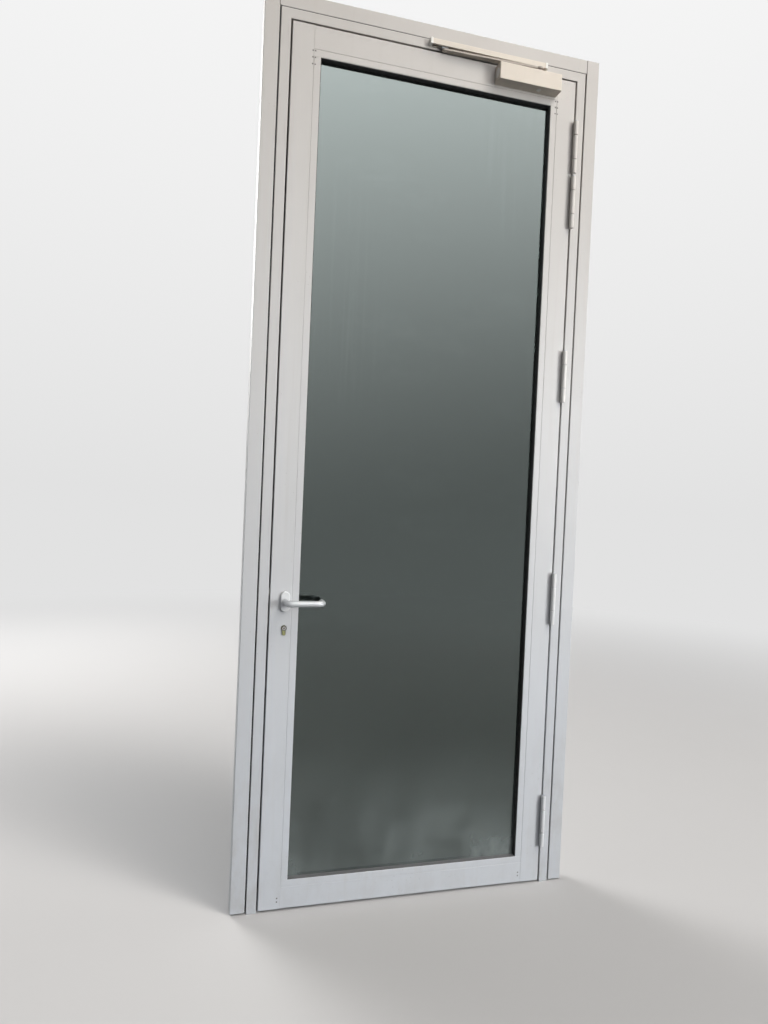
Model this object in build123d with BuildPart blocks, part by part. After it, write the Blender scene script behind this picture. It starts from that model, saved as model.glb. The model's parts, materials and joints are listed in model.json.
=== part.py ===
from build123d import *
from math import asin, cos, pi, radians, sin, sqrt
import os

# A glazed entrance door leaf in its two-layer steel frame, closed. Sizes are in millimetres.
# The outside looks towards -Y, the hinges are at +X, and z = 0 is the floor under the frame.

# Leaf
leaf_width = 1065
leaf_height = 3030
floor_gap = 8
leaf_gap = 6
stile_face = 75
top_rail_face = 79
bottom_rail_face = 75
profile_wall = 2.5
edge_radius = 2

# Glazing, from the outside in
rebate = 24
bead_depth = 16
bead_wall = 2
bead_edge = 1.6
gasket_thickness = 4
gasket_lip = 2
gasket_lip_setback = 2.5
pane_thickness = 6
cavity = 12
fin_thickness = 4
glass_clearance = 9
spacer_inset = 4
spacer_width = 16
setting_block_length = 100
setting_block_from_corner = 110
stud_radius = 2
stud_head_radius = 4
stud_head_height = 2.5
stud_length = 12
stile_stud_count = 5
rail_stud_count = 3
stud_end_margin = 150

# Corner pins
pin_radius = 1.8
pin_length = 7
pin_proud = 0.3
pin_inset_stile = 71.5
pin_inset_bead = 80
pin_pitch = 22.5
top_pin_count = 3
pin_top_drop = 5.5
foot_pin_inset_lock = 64
foot_pin_inset_hinge = 85
foot_pin_rise = 24.5
foot_pin_pitch = 12.5
foot_pin_count = 2

# Frame
inner_face = 34
outer_face = 50
groove_width = 5
groove_depth = 8
head_joint = 1.5
head_joint_depth = 1
outer_foot = 6
stop_thickness = 8
stop_cover = 12
seal_space = 4
seal_width = 9
seal_clearance = 0.3
seal_foot = 5
fixing_hole_radius = 5.5
fixing_access_radius = 9
fixing_margin = 200
fixing_count = 4
coupling_margin = 650
coupling_count = 3
coupling_head_margin = 220
coupling_head_count = 2

# Screws
screw_clearance = 0.15
coupling_screw_radius = 3
coupling_head_radius = 5.2
coupling_screw_reach = 4
small_screw_radius = 2.5
small_head_radius = 4.7
small_screw_length = 14
recess_length = 5
recess_width = 1.1
recess_depth = 1.5

# Hinges
hinge_projection = 11
knuckle_radius = 8.5
outer_knuckle = 51
centre_knuckle = 87
knuckle_chamfer = 1.2
knuckle_gap = 2
wing_thickness = 2.5
wing_depth = 30
hinge_pin_radius = 4
hinge_pin_clearance = 0.05
hinge_pin_head = 2.5
hinge_setback = 1
hinge_from_bottom = (232, 1085)
hinge_from_top = (1102, 449, 245)

# Lock
handle_backset = 51.5
handle_height = 1079.5
cylinder_drop = 92
case_depth = 66
case_thickness = 16
case_wall = 1.5
case_above_handle = 50
case_below_cylinder = 45
case_lug = 10
case_lug_thickness = 3
faceplate_width = 24
faceplate_margin = 30
faceplate_screw_inset = 12
lock_slot_clearance = 0.3
latch_height = 24
latch_thickness = 12
latch_throw = 11
latch_head_length = 28.5
latch_rise = 30
latch_tail_height = 12
latch_tail_thickness = 6
hook_width = 5
hook_offset = 4.9
hook_drop = 16
deadbolt_height = 35
deadbolt_thickness = 10
deadbolt_rise = 38
deadbolt_throw = 20
deadbolt_hold = 25
follower_radius = 12
follower_clearance = 0.3
follower_boss_radius = 9
finger_reach = 20
finger_width = 6
finger_lean = 35
strike_thickness = 2
strike_overlap = 28
strike_slot_clearance = 1.5

# Handles
spindle_side = 8
spindle_clearance = 0.1
spindle_length = 118
spindle_bore_radius = 10
rosette_width = 32
rosette_height = 70
rosette_thickness = 9
rosette_edge = 2.5
neck_clearance = 0.1
lever_radius = 10.5
lever_projection = 58
lever_reach = 123.5
lever_bend = 20
lever_end_gap = 12
lever_end_round = 4
lever_end_bore = 4
lever_end_bore_depth = 10
lever_foot_gap = 1

# Profile cylinder
barrel_radius = 8.5
web_width = 10
cylinder_height = 33
cylinder_proud = 4
cylinder_bore_clearance = 0.4
cylinder_cutout_clearance = 2
plug_radius = 6.5
plug_clearance = 0.05
cam_width = 9.4
cam_slot_clearance = 0.3
cam_reach = 15
cam_lobe_width = 8
keyway_width = 2.2
keyway_height = 8
keyway_depth = 18

# Door closer
closer_length = 245
closer_height = 60
closer_depth = 46
closer_edge = 2
closer_from_edge = 82
closer_drop = 10.5
spindle_from_axis = 166
closer_bore_radius = 17
closer_bore_end = 12
closer_plug_length = 10
piston_clearance = 0.05
piston_length = 40
roller_radius = 5
roller_height = 10
roller_start = 12
roller_travel = 6
roller_clearance = 0.6
cam_height = 9
cam_lead = 15
cam_steps = 36
shaft_radius = 7
shaft_clearance = 0.05
shaft_foot = 8
underside_cap_radius = 8
underside_cap_proud = 1.5
closer_spring_radius = 12.5
closer_spring_wire = 1.8
closer_spring_turns = 9

# Closer arm and guide rail
arm_lift = 2
arm_thickness = 6
arm_length = 366
arm_width = 17
arm_hub_radius = 14
arm_eye_radius = 8.5
arm_square = 10
arm_square_clearance = 0.1
rivet_radius = 6
rivet_height = 2
rail_section = 20
rail_wall = 2.5
rail_slot = 9
rail_length = 454
rail_cap_thickness = 8
rail_cap_proud = 1.2
rail_lift = 9
rail_end_room = 26
rail_screw_inset = 22
rail_screw_count = 3
slider_length = 40
slider_clearance = 0.3
slider_neck_width = 7.4
slider_neck_length = 22
open_pivot_gap = 0.3
swing_limit = 110

# Places worked out from the sizes above
leaf_depth = bead_depth + 2 * gasket_thickness + 2 * pane_thickness + cavity + fin_thickness
leaf_front = -leaf_depth / 2
leaf_back = leaf_depth / 2
leaf_half = leaf_width / 2
leaf_bottom = floor_gap
leaf_top = leaf_bottom + leaf_height
box_inside = leaf_half - stile_face
fin_inside = box_inside - rebate
rail_top_edge = leaf_bottom + bottom_rail_face
rail_low_edge = leaf_top - top_rail_face
sight_low = rail_top_edge + rebate
sight_high = rail_low_edge - rebate

bead_back = leaf_front + bead_depth
bead_round = min(bead_edge, 0.8 * bead_wall)
pane_front = bead_back + gasket_thickness
cavity_front = pane_front + pane_thickness
cavity_back = cavity_front + cavity
pane_back = cavity_back + pane_thickness
fin_front = pane_back + gasket_thickness

stop_front = leaf_back + seal_space
frame_back = stop_front + stop_thickness
jamb_inside = leaf_half + leaf_gap
jamb_outside = jamb_inside + inner_face
outer_inside = jamb_outside + groove_width
outer_outside = outer_inside + outer_face
stop_inside = leaf_half - stop_cover
head_low = leaf_top + leaf_gap
head_high = head_low + inner_face
outer_head_low = head_high + head_joint
frame_top = outer_head_low + outer_face
stop_low = leaf_top - stop_cover

hinge_x = leaf_half + leaf_gap / 2
hinge_y = leaf_front - hinge_projection
hinge_heights = [leaf_bottom + h for h in hinge_from_bottom] + [leaf_top - h for h in hinge_from_top]

handle_x = -leaf_half + handle_backset
cylinder_z = handle_height - cylinder_drop
plate_back = -leaf_half + profile_wall
case_low = cylinder_z - case_below_cylinder
case_high = handle_height + case_above_handle
plate_low = case_low - faceplate_margin
plate_high = case_high + faceplate_margin
latch_z = handle_height + latch_rise
deadbolt_z = cylinder_z + deadbolt_rise
strike_low = deadbolt_z - deadbolt_height / 2 - strike_overlap
strike_high = latch_z + latch_height / 2 + strike_overlap

closer_right = leaf_half - closer_from_edge
closer_left = closer_right - closer_length
closer_high = leaf_top - closer_drop
closer_low = closer_high - closer_height
closer_y = leaf_front - closer_depth / 2
closer_z = (closer_low + closer_high) / 2
closer_shaft_x = hinge_x - spindle_from_axis
arm_low = leaf_top + arm_lift
arm_high = arm_low + arm_thickness
rail_low = head_low + rail_lift
rail_high = rail_low + rail_section
rail_y = leaf_front - rail_section / 2
slider_x = closer_shaft_x - sqrt(arm_length**2 - (rail_y - closer_y) ** 2)
rail_left = slider_x - slider_length / 2 - rail_end_room - rail_cap_thickness
rail_right = rail_left + rail_length


def save(builder, node):
    """Label a finished piece and write it as one file."""
    builder.part.label = node
    export_step(builder.part, f"parts/{node}.step")


def block(low, high, mode=Mode.ADD):
    """A box between two corners, given in any order."""
    with Locations(tuple((a + b) / 2 for a, b in zip(low, high))):
        Box(*[abs(b - a) for a, b in zip(low, high)], mode=mode)


def rod(start, direction, radius, length, mode=Mode.ADD):
    """A round bar from a start point along a direction, or a drilled hole."""
    with Locations(Plane(origin=start, z_dir=direction).offset(length / 2)):
        Cylinder(radius, length, mode=mode)


def taper(start, direction, radius, end_radius, length, mode=Mode.ADD):
    """A cone from a start point along a direction, such as a countersunk head or its seat."""
    with Locations(Plane(origin=start, z_dir=direction).offset(length / 2)):
        Cone(radius, end_radius, length, mode=mode)


def area(first, second, mode=Mode.ADD):
    """A rectangle between two corners of a sketch."""
    with Locations(tuple((a + b) / 2 for a, b in zip(first, second))):
        Rectangle(*[abs(b - a) for a, b in zip(first, second)], mode=mode)


def tube(first, second, wall, radius):
    """A hollow profile with rounded outer edges, drawn between two corners of a sketch."""
    width, depth = [abs(b - a) for a, b in zip(first, second)]
    with Locations(tuple((a + b) / 2 for a, b in zip(first, second))):
        RectangleRounded(width, depth, radius)
        Rectangle(width - 2 * wall, depth - 2 * wall, mode=Mode.SUBTRACT)


def ring(low, high, front, back, width):
    """A rectangular ring upright in the leaf, between two (x, z) corners and two depths."""
    with BuildSketch(Plane.XZ.offset(-back)) as section:
        area(low, high)
        inner_low = [v + width for v in low]
        inner_high = [v - width for v in high]
        area(inner_low, inner_high, mode=Mode.SUBTRACT)
    extrude(section.sketch, amount=back - front)


def countersunk_screw(start, direction, radius, head_radius, length):
    """A countersunk screw with a cross recess, from its head's face along a direction."""
    head = head_radius - radius
    taper(start, direction, head_radius, radius, head)
    rod(start, direction, radius, length)
    with Locations(Plane(origin=start, z_dir=direction).offset(recess_depth / 2)):
        Box(recess_length, recess_width, recess_depth, mode=Mode.SUBTRACT)
        Box(recess_width, recess_length, recess_depth, mode=Mode.SUBTRACT)


def countersunk_hole(start, direction, radius, head_radius, length):
    """The hole that such a screw sits in, with the screw's clearance all round."""
    wide = head_radius + screw_clearance
    narrow = radius + screw_clearance
    taper(start, direction, wide, narrow, wide - narrow, mode=Mode.SUBTRACT)
    rod(start, direction, narrow, length, mode=Mode.SUBTRACT)


def evenly(first, last, count):
    """Places spread evenly from the first to the last."""
    return [first + (last - first) * i / (count - 1) for i in range(count)]


# Places of the fasteners, shared by the pieces that they join
fixing_heights = evenly(fixing_margin, frame_top - fixing_margin, fixing_count)
coupling_heights = evenly(coupling_margin, head_high - coupling_margin, coupling_count)
coupling_end = jamb_outside - coupling_head_margin
coupling_places = evenly(-coupling_end, coupling_end, coupling_head_count)
coupling_y = (leaf_front + frame_back) / 2
coupling_length = inner_face + groove_width + profile_wall + coupling_screw_reach
coupling_screw = (coupling_screw_radius, coupling_head_radius, coupling_length)
small_screw = (small_screw_radius, small_head_radius, small_screw_length)
stud_heights = evenly(rail_top_edge + stud_end_margin, rail_low_edge - stud_end_margin, stile_stud_count)
stud_places = evenly(stud_end_margin - box_inside, box_inside - stud_end_margin, rail_stud_count)
stud_y = leaf_front + bead_depth / 2
strike_screw_heights = [strike_low + faceplate_screw_inset, strike_high - faceplate_screw_inset]
plate_screw_heights = [plate_low + faceplate_screw_inset, plate_high - faceplate_screw_inset]
rail_screw_places = evenly(rail_left + rail_screw_inset, rail_right - rail_screw_inset, rail_screw_count)
rail_z = (rail_low + rail_high) / 2
top_pin_heights = [rail_low_edge - pin_top_drop - i * pin_pitch for i in range(top_pin_count)]
foot_pin_heights = [leaf_bottom + foot_pin_rise + i * foot_pin_pitch for i in range(foot_pin_count)]


def outer_jamb(side):
    """An upright of the outer frame, with the holes that fix it to the building."""
    with BuildPart() as jamb:
        with BuildSketch(Plane.XY.offset(outer_foot)):
            far = (side * outer_outside, frame_back)
            tube((side * outer_inside, leaf_front), far, profile_wall, edge_radius)
        extrude(amount=frame_top - outer_foot)
        for z in fixing_heights:
            outside = (side * outer_outside, coupling_y, z)
            rod(outside, (-side, 0, 0), fixing_hole_radius, 2 * profile_wall, mode=Mode.SUBTRACT)
            inside = (side * outer_inside, coupling_y, z)
            rod(inside, (side, 0, 0), fixing_access_radius, 2 * profile_wall, mode=Mode.SUBTRACT)
        hole = coupling_screw_radius + screw_clearance
        for z in coupling_heights:
            inside = (side * outer_inside, coupling_y, z)
            rod(inside, (side, 0, 0), hole, 2 * profile_wall, mode=Mode.SUBTRACT)
    return jamb


def inner_jamb(side):
    """An upright of the inner frame, mitred at the top, with the stop that the leaf closes on."""
    with BuildPart() as jamb:
        with BuildSketch(Plane.XY):
            far = (side * jamb_outside, frame_back)
            tube((side * jamb_inside, leaf_front), far, profile_wall, edge_radius)
            area((side * stop_inside, stop_front), (side * (jamb_inside + profile_wall), frame_back))
        extrude(amount=head_high)
        mitre = Plane(origin=(side * jamb_inside, 0, head_low), z_dir=(-side, 0, 1))
        split(bisect_by=mitre, keep=Keep.BOTTOM)
        for z in coupling_heights:
            start = (side * jamb_inside, coupling_y, z)
            countersunk_hole(start, (side, 0, 0), *coupling_screw)
        if side < 0:
            cut_strike_pockets()
    return jamb


def cut_strike_pockets():
    """The pockets and screw holes for the strike plate in the lock side's jamb."""
    wall_x = (-jamb_inside - 2 * profile_wall, -jamb_inside + profile_wall)
    for z, height, thickness in ((latch_z, latch_height, latch_thickness),
                                 (deadbolt_z, deadbolt_height, deadbolt_thickness)):
        rise = height / 2 + 2 * strike_slot_clearance
        reach = thickness / 2 + 2 * strike_slot_clearance
        block((wall_x[0], -reach, z - rise), (wall_x[1], reach, z + rise), mode=Mode.SUBTRACT)
    for z in strike_screw_heights:
        start = (-jamb_inside + strike_thickness, 0, z)
        countersunk_hole(start, (-1, 0, 0), *small_screw)


def side_name(side):
    return "hinge" if side > 0 else "lock"


os.makedirs("parts", exist_ok=True)

# Outer and inner uprights
for side in (-1, 1):
    save(outer_jamb(side), f"outer_jamb_{side_name(side)}")
    save(inner_jamb(side), f"inner_jamb_{side_name(side)}")

# Outer head, butted between the outer uprights
with BuildPart() as outer_head:
    with BuildSketch(Plane.YZ.offset(-outer_inside)):
        tube((leaf_front, outer_head_low), (frame_back, frame_top), profile_wall, edge_radius)
    extrude(amount=2 * outer_inside)
    for x in coupling_places:
        hole = coupling_screw_radius + screw_clearance
        rod((x, coupling_y, outer_head_low), (0, 0, 1), hole, 2 * profile_wall, mode=Mode.SUBTRACT)
save(outer_head, "outer_head")

# Inner head, mitred to the inner uprights, with the stop and the closer rail's screw holes
with BuildPart() as inner_head:
    with BuildSketch(Plane.YZ.offset(-jamb_outside)):
        tube((leaf_front, head_low), (frame_back, head_high), profile_wall, edge_radius)
        area((stop_front, stop_low), (frame_back, head_low + profile_wall))
    extrude(amount=2 * jamb_outside)
    for side in (-1, 1):
        mitre = Plane(origin=(side * jamb_inside, 0, head_low), z_dir=(-side, 0, 1))
        split(bisect_by=mitre, keep=Keep.TOP)
    for x in coupling_places:
        start = (x, coupling_y, head_low)
        countersunk_hole(start, (0, 0, 1), *coupling_screw)
    for x in rail_screw_places:
        hole = small_screw_radius + screw_clearance
        rod((x, leaf_front, rail_z), (0, 1, 0), hole, 2 * profile_wall, mode=Mode.SUBTRACT)
save(inner_head, "inner_head")

# Rubber strips that fill the joint between the two frames, set back to leave the dark groove
with BuildPart() as joint_strips:
    groove_back = leaf_front + groove_depth
    for side in (-1, 1):
        strip_end = (side * outer_inside, frame_back, outer_head_low)
        block((side * jamb_outside, groove_back, outer_foot), strip_end)
    head_strip_front = leaf_front + head_joint_depth
    block((-jamb_outside, head_strip_front, head_high), (jamb_outside, frame_back, outer_head_low))
    strip_hole = coupling_screw_radius + screw_clearance
    for z in coupling_heights:
        for side in (-1, 1):
            start = (side * jamb_outside, coupling_y, z)
            rod(start, (side, 0, 0), strip_hole, groove_width, mode=Mode.SUBTRACT)
    for x in coupling_places:
        rod((x, coupling_y, head_high), (0, 0, 1), strip_hole, head_joint, mode=Mode.SUBTRACT)
save(joint_strips, "joint_strips")

# Screws that couple the inner frame to the outer frame
with BuildPart() as coupling_screws:
    for z in coupling_heights:
        for side in (-1, 1):
            start = (side * jamb_inside, coupling_y, z)
            countersunk_screw(start, (side, 0, 0), *coupling_screw)
    for x in coupling_places:
        start = (x, coupling_y, head_low)
        countersunk_screw(start, (0, 0, 1), *coupling_screw)
save(coupling_screws, "coupling_screws")

# Closing seal on the stop, on three sides
with BuildPart() as frame_seal:
    seal_front = leaf_back + seal_clearance
    for side in (-1, 1):
        outer_edge = side * (stop_inside + seal_width)
        block((side * stop_inside, seal_front, seal_foot), (outer_edge, stop_front, stop_low))
    block((-stop_inside - seal_width, seal_front, stop_low),
          (stop_inside + seal_width, stop_front, stop_low + seal_width))
    fillet(frame_seal.faces().sort_by(Axis.Y)[0].edges(), radius=edge_radius)
save(frame_seal, "frame_seal")

# Strike plate on the lock side's inner upright
with BuildPart() as strike_plate:
    with BuildSketch(Plane.YZ.offset(-jamb_inside)):
        with Locations((0, (strike_low + strike_high) / 2)):
            SlotOverall(strike_high - strike_low, faceplate_width, rotation=90)
        for z, height, thickness in ((latch_z, latch_height, latch_thickness),
                                     (deadbolt_z, deadbolt_height, deadbolt_thickness)):
            rise = height / 2 + strike_slot_clearance
            reach = thickness / 2 + strike_slot_clearance
            area((-reach, z - rise), (reach, z + rise), mode=Mode.SUBTRACT)
    extrude(amount=strike_thickness)
    for z in strike_screw_heights:
        start = (-jamb_inside + strike_thickness, 0, z)
        countersunk_hole(start, (-1, 0, 0), *small_screw)
save(strike_plate, "strike_plate")

# Screws of the strike plate and of the guide rail, all of one kind
with BuildPart() as hardware_screws:
    for z in strike_screw_heights:
        start = (-jamb_inside + strike_thickness, 0, z)
        countersunk_screw(start, (-1, 0, 0), *small_screw)
    for x in rail_screw_places:
        start = (x, leaf_front - rail_wall, rail_z)
        countersunk_screw(start, (0, 1, 0), *small_screw)
save(hardware_screws, "hardware_screws")

# Guide rail on the inner head: a channel that is open below
with BuildPart() as closer_rail:
    with BuildSketch(Plane.YZ.offset(rail_left + rail_cap_thickness)):
        tube((leaf_front - rail_section, rail_low), (leaf_front, rail_high), rail_wall, edge_radius)
        slot_end = (rail_y + rail_slot / 2, rail_low + 2 * rail_wall)
        area((rail_y - rail_slot / 2, rail_low), slot_end, mode=Mode.SUBTRACT)
    extrude(amount=rail_length - 2 * rail_cap_thickness)
    for x in rail_screw_places:
        start = (x, leaf_front - rail_wall, rail_z)
        countersunk_hole(start, (0, 1, 0), *small_screw)
save(closer_rail, "closer_rail")

# End caps of the guide rail
with BuildPart() as rail_end_caps:
    for x in (rail_left, rail_right - rail_cap_thickness):
        low = (x, leaf_front - rail_section - rail_cap_proud, rail_low - rail_cap_proud)
        block(low, (x + rail_cap_thickness, leaf_front, rail_high + rail_cap_proud))
    fillet(rail_end_caps.edges().filter_by(Axis.X), radius=edge_radius)
save(rail_end_caps, "rail_end_caps")


def knuckle_barrel(low, length):
    """One bored knuckle with chamfered ends, from its lower end up."""
    upward = (0, 0, 1)
    end_radius = knuckle_radius - knuckle_chamfer
    straight = length - 2 * knuckle_chamfer
    taper((hinge_x, hinge_y, low), upward, end_radius, knuckle_radius, knuckle_chamfer)
    rod((hinge_x, hinge_y, low + knuckle_chamfer), upward, knuckle_radius, straight)
    top_start = (hinge_x, hinge_y, low + knuckle_chamfer + straight)
    taper(top_start, upward, knuckle_radius, end_radius, knuckle_chamfer)
    bore = hinge_pin_radius + hinge_pin_clearance
    rod((hinge_x, hinge_y, low), upward, bore, length, mode=Mode.SUBTRACT)


def hinge_frame(z):
    """The frame's half of a hinge: two outer knuckles on a wing welded into the gap."""
    half = centre_knuckle / 2 + knuckle_gap
    reach = half + outer_knuckle
    with BuildPart() as knuckles:
        wing_x = (jamb_inside - wing_thickness, jamb_inside)
        wing_front = hinge_y + knuckle_radius + hinge_setback
        block((wing_x[0], wing_front, z - reach), (wing_x[1], leaf_front + wing_depth, z + reach))
        for low in (z - reach, z + half):
            block((wing_x[0], hinge_y, low), (wing_x[1], wing_front, low + outer_knuckle))
            knuckle_barrel(low, outer_knuckle)
    return knuckles


def hinge_leaf(z):
    """The leaf's half of a hinge: the centre knuckle on its wing."""
    half = centre_knuckle / 2
    with BuildPart() as knuckle:
        wing_back = leaf_front + wing_depth
        block((leaf_half, hinge_y, z - half), (leaf_half + wing_thickness, wing_back, z + half))
        knuckle_barrel(z - half, centre_knuckle)
    return knuckle


for number, z in enumerate(hinge_heights, start=1):
    save(hinge_frame(z), f"hinge_frame_{number}")
    save(hinge_leaf(z), f"hinge_leaf_{number}")

# Hinge pins, dropped in from the top
with BuildPart() as hinge_pins:
    for z in hinge_heights:
        reach = centre_knuckle / 2 + knuckle_gap + outer_knuckle
        cap_height = hinge_pin_head - knuckle_chamfer
        cap_edge = (hinge_x, hinge_y, z + reach + cap_height)
        rod((hinge_x, hinge_y, z - reach), (0, 0, 1), hinge_pin_radius, 2 * reach)
        rod((hinge_x, hinge_y, z + reach), (0, 0, 1), knuckle_radius, cap_height)
        taper(cap_edge, (0, 0, 1), knuckle_radius, knuckle_radius - knuckle_chamfer, knuckle_chamfer)
save(hinge_pins, "hinge_pins")


def stile(side):
    """An upright of the leaf: a hollow profile with the rear fin that holds the glass."""
    with BuildPart() as profile:
        with BuildSketch(Plane.XY.offset(leaf_bottom)):
            tube((side * box_inside, leaf_front), (side * leaf_half, leaf_back), profile_wall, edge_radius)
        extrude(amount=leaf_height)
        block((side * fin_inside, fin_front, rail_top_edge),
              (side * (box_inside + profile_wall), leaf_back, rail_low_edge))
        for z in stud_heights:
            start = (side * box_inside, stud_y, z)
            rod(start, (side, 0, 0), stud_radius, 2 * profile_wall, mode=Mode.SUBTRACT)
        drill_pins(top_pin_places(side))
        if side < 0:
            drill_pins(foot_pin_places(side))
            cut_lock_pockets()
    return profile


def top_pin_places(side):
    """The pins in a stile's outside face by the top bead."""
    return [(side * (leaf_half - pin_inset_stile), z) for z in top_pin_heights]


def foot_pin_places(side):
    """The pins near a bottom corner: in the stile on the lock side, in the rail on the hinge side."""
    inset = foot_pin_inset_hinge if side > 0 else foot_pin_inset_lock
    return [(side * (leaf_half - inset), z) for z in foot_pin_heights]


def drill_pins(places):
    """Holes for pins in the outside face."""
    for x, z in places:
        rod((x, leaf_front, z), (0, 1, 0), pin_radius, pin_length, mode=Mode.SUBTRACT)


def cylinder_section(clearance):
    """The outline of a profile cylinder, drawn in an upright sketch about the plug's centre."""
    Circle(barrel_radius + clearance)
    web_end = barrel_radius - cylinder_height + web_width / 2
    area((-web_width / 2 - clearance, 0), (web_width / 2 + clearance, web_end))
    with Locations((0, web_end)):
        Circle(web_width / 2 + clearance)


def cylinder_outline(y, clearance):
    """A sketch of the cylinder's outline at a depth, facing the outside."""
    with BuildSketch(Plane(origin=(handle_x, y, cylinder_z), x_dir=(1, 0, 0), z_dir=(0, -1, 0))) as outline:
        cylinder_section(clearance)
    return outline.sketch


def cut_lock_pockets():
    """The openings in the lock stile for the faceplate, the handle's spindle and the cylinder."""
    with BuildSketch(Plane.YZ.offset(-leaf_half - profile_wall)) as slot:
        with Locations((0, (plate_low + plate_high) / 2)):
            SlotOverall(plate_high - plate_low, faceplate_width, rotation=90)
    extrude(slot.sketch, amount=2 * profile_wall, mode=Mode.SUBTRACT)
    start = (handle_x, leaf_front, handle_height)
    rod(start, (0, 1, 0), spindle_bore_radius, leaf_depth, mode=Mode.SUBTRACT)
    extrude(cylinder_outline(leaf_back, cylinder_cutout_clearance), amount=leaf_depth, mode=Mode.SUBTRACT)


for side in (-1, 1):
    save(stile(side), f"{side_name(side)}_stile")


def leaf_rail(low, high, fin_low, fin_high, stud_z, stud_direction, pins=()):
    """A rail of the leaf, butted between the stiles, with its rear fin."""
    with BuildPart() as rail:
        with BuildSketch(Plane.YZ.offset(-box_inside)):
            tube((leaf_front, low), (leaf_back, high), profile_wall, edge_radius)
        extrude(amount=2 * box_inside)
        block((-fin_inside, fin_front, fin_low), (fin_inside, leaf_back, fin_high))
        for x in stud_places:
            start = (x, stud_y, stud_z)
            rod(start, (0, 0, stud_direction), stud_radius, 2 * profile_wall, mode=Mode.SUBTRACT)
        drill_pins(pins)
    return rail


save(leaf_rail(leaf_bottom, rail_top_edge, rail_top_edge - profile_wall, sight_low, rail_top_edge, -1,
               foot_pin_places(1)), "bottom_rail")
save(leaf_rail(rail_low_edge, leaf_top, sight_high, rail_low_edge + profile_wall, rail_low_edge, 1),
     "top_rail")

# Studs that the glazing beads snap onto
with BuildPart() as bead_studs:
    seats = [((side * box_inside, stud_y, z), (side, 0, 0)) for side in (-1, 1) for z in stud_heights]
    seats += [((x, stud_y, rail_top_edge), (0, 0, -1)) for x in stud_places]
    seats += [((x, stud_y, rail_low_edge), (0, 0, 1)) for x in stud_places]
    for start, direction in seats:
        head_start = Plane(origin=start, z_dir=direction).offset(-stud_head_height - bead_wall).origin
        rod(head_start, direction, stud_head_radius, stud_head_height)
        rod(head_start, direction, stud_radius, stud_length)
save(bead_studs, "bead_studs")


def stile_bead(side):
    """An upright glazing bead: a channel that is open towards the stile."""
    with BuildPart() as bead:
        with BuildSketch(Plane.XY.offset(sight_low)):
            sight = side * fin_inside
            seat = side * box_inside
            area((sight, leaf_front), (seat, bead_back))
            channel = (sight + side * bead_wall, leaf_front + bead_wall)
            area(channel, (seat, bead_back - bead_wall), mode=Mode.SUBTRACT)
        extrude(amount=sight_high - sight_low)
        fillet(bead.edges().filter_by(Axis.Z).group_by(Axis.Y)[0], radius=bead_round)
        for z in top_pin_heights[1:]:
            x = side * (leaf_half - pin_inset_bead)
            rod((x, leaf_front, z), (0, 1, 0), pin_radius, 2 * bead_wall, mode=Mode.SUBTRACT)
    return bead


def rail_bead(sight, seat):
    """A level glazing bead: a channel that is open towards the rail."""
    inward = 1 if seat > sight else -1
    with BuildPart() as bead:
        with BuildSketch(Plane.YZ.offset(-box_inside)):
            area((leaf_front, sight), (bead_back, seat))
            channel = (leaf_front + bead_wall, sight + inward * bead_wall)
            area(channel, (bead_back - bead_wall, seat), mode=Mode.SUBTRACT)
        extrude(amount=2 * box_inside)
        fillet(bead.edges().filter_by(Axis.X).group_by(Axis.Y)[0], radius=bead_round)
        if inward > 0:
            for side in (-1, 1):
                pin_start = (side * (leaf_half - pin_inset_bead), leaf_front, top_pin_heights[0])
                rod(pin_start, (0, 1, 0), pin_radius, 2 * bead_wall, mode=Mode.SUBTRACT)
    return bead


for side in (-1, 1):
    save(stile_bead(side), f"bead_{side_name(side)}")
save(rail_bead(sight_low, rail_top_edge), "bead_bottom")
save(rail_bead(sight_high, rail_low_edge), "bead_top")

# Small round pins by the top corners and near the bottom corners
with BuildPart() as corner_pins:
    for side in (-1, 1):
        bead_pins = [(side * (leaf_half - pin_inset_bead), z) for z in top_pin_heights]
        for x, z in top_pin_places(side) + bead_pins + foot_pin_places(side):
            rod((x, leaf_front - pin_proud, z), (0, 1, 0), pin_radius, pin_length)
save(corner_pins, "corner_pins")

# Glazing unit: two panes with a spacer between them, on rubber on both sides
glass_low = (-box_inside + glass_clearance, rail_top_edge + glass_clearance)
glass_high = (box_inside - glass_clearance, rail_low_edge - glass_clearance)
gasket_width = rebate - glass_clearance + gasket_lip

for node, front in (("outer_pane", pane_front), ("inner_pane", cavity_back)):
    with BuildPart() as pane:
        block((glass_low[0], front, glass_low[1]), (glass_high[0], front + pane_thickness, glass_high[1]))
    save(pane, node)

with BuildPart() as glazing_spacer:
    spacer_low = [v + spacer_inset for v in glass_low]
    spacer_high = [v - spacer_inset for v in glass_high]
    ring(spacer_low, spacer_high, cavity_front, cavity_back, spacer_width)
save(glazing_spacer, "glazing_spacer")

# The outer gasket has a lip that lines the beads' inner edges up to near their front
with BuildPart() as outer_gasket:
    ring(glass_low, glass_high, bead_back, pane_front, gasket_width)
    lip_front = leaf_front + gasket_lip_setback
    ring((-fin_inside, sight_low), (fin_inside, sight_high), lip_front, bead_back, gasket_lip)
save(outer_gasket, "outer_gasket")

with BuildPart() as inner_gasket:
    ring(glass_low, glass_high, pane_back, fin_front, gasket_width)
save(inner_gasket, "inner_gasket")

# Blocks that carry the glass on the bottom rail and hold it off the stiles
with BuildPart() as setting_blocks:
    for side in (-1, 1):
        near = side * (box_inside - setting_block_from_corner)
        far = near - side * setting_block_length
        block((near, pane_front, rail_top_edge), (far, pane_back, glass_low[1]))
        for low in (rail_top_edge + setting_block_from_corner,
                    rail_low_edge - setting_block_from_corner - setting_block_length):
            block_end = (side * glass_high[0], pane_back, low + setting_block_length)
            block((side * box_inside, pane_front, low), block_end)
save(setting_blocks, "setting_blocks")

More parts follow.
